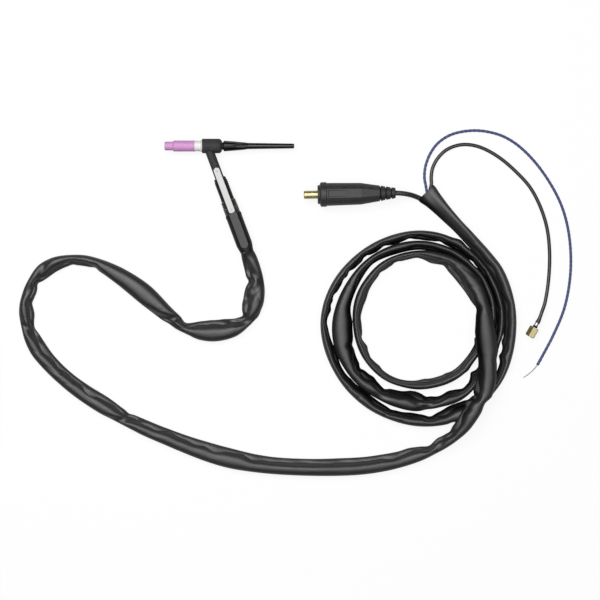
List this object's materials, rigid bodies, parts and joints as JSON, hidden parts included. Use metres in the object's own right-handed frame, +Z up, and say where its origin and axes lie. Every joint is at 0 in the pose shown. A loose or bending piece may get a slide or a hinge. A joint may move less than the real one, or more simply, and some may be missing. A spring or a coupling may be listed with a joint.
{
  "type": "tig torch",
  "caption": "Air-cooled TIG welding torch with ceramic cup, long back cap and lever handle, its sleeved leads coiled, ending in a current plug, a gas nut and a control wire.",
  "frame": {"origin": "on the floor under the middle of the torch's own box, without its leads", "axes": "+X along the head from the cup to the back cap, +Y towards the head from the handle's tail, +Z up from the floor the torch lies on"},
  "size_m": [0.887, 0.5545, 0.0392],
  "materials": {
    "ceramic": "satin",
    "gasket_white": "matte",
    "copper": "satin",
    "brass": "satin",
    "head_rubber": "matte",
    "cap_black": "gloss",
    "handle_plastic": "matte",
    "pad_grey": "matte",
    "lever_metal": "satin",
    "steel": "satin",
    "black_steel": "satin",
    "switch_red": "gloss",
    "switch_black": "matte",
    "wire_blue": "satin",
    "cable_black": "satin",
    "sleeve_black": "satin",
    "plug_rubber": "matte"
  },
  "bodies": {
    "torch": {"cup_gasket": "gasket_white", "collet_body": "copper", "torch_core": "brass", "head_cover": "head_rubber", "neck_tube": "copper", "handle_grip": "handle_plastic", "lever_collar": "handle_plastic", "rear_boot": "handle_plastic", "thumb_pad": "pad_grey", "lever_pin": "black_steel", "lever_spring": "steel", "switch_body": "switch_black", "switch_wires": "wire_blue", "power_block": "brass", "cable_crimp": "copper", "cable_inner": "cable_black", "gas_barb": "brass", "hose_inner": "cable_black", "control_inner": "wire_blue", "sleeve_lead": "sleeve_black", "sleeve_coil": "sleeve_black", "sleeve_tail": "sleeve_black", "power_tail": "cable_black", "plug_body": "plug_rubber", "plug_pin": "brass", "plug_clamp_screws": "steel", "plug_conductor": "copper", "plug_cable_end": "cable_black", "gas_hose": "cable_black", "gas_ferrule": "steel", "gas_nipple": "black_steel", "control_wire": "wire_blue", "wire_strand": "copper"},
    "cup": {"ceramic_cup": "ceramic"},
    "cap_carriage": {"cap_o_ring": "cable_black", "collet": "copper"},
    "cap": {"back_cap": "cap_black"},
    "lever": {"trigger_lever": "lever_metal", "lever_rivets": "steel"},
    "plunger": {"switch_plunger": "switch_red"},
    "nut": {"gas_nut": "brass"}
  },
  "joints": [
    {"name": "cup_off", "type": "slide", "parent": "torch", "child": "cup", "axis": [-1, 0, 0], "range_m": [0, 0.034]},
    {"name": "cap_travel", "type": "slide", "parent": "torch", "child": "cap_carriage", "axis": [1, 0, 0], "range_m": [0, 0.006]},
    {"name": "cap_turn", "type": "hinge", "parent": "cap_carriage", "child": "cap", "pos_m": [-0.00495, 0.08077, 0.0131], "axis": [1, 0, 0], "range_deg": [0, 2160]},
    {"name": "lever_press", "type": "hinge", "parent": "torch", "child": "lever", "pos_m": [0.00217, -0.01852, 0.0221], "axis": [-0.9367, -0.3502, 0], "range_deg": [0, 2.2], "stiffness_Nm_per_rad": 2, "springref_deg": -1.15, "deforming": ["lever_spring"]},
    {"name": "plunger_travel", "type": "slide", "parent": "torch", "child": "plunger", "axis": [0, 0, -1], "range_m": [0, 0.0012]},
    {"name": "nut_swivel", "type": "hinge", "parent": "torch", "child": "nut", "pos_m": [0.485, -0.21616, 0.00818], "axis": [-0.5, -0.866, 0], "continuous": true}
  ],
  "couplings": [
    {"joint": "cap_travel", "follows": "cap_turn", "m_per_rad": 0.00015915},
    {"joint": "plunger_travel", "follows": "lever_press", "m_per_rad": 0.028}
  ]
}
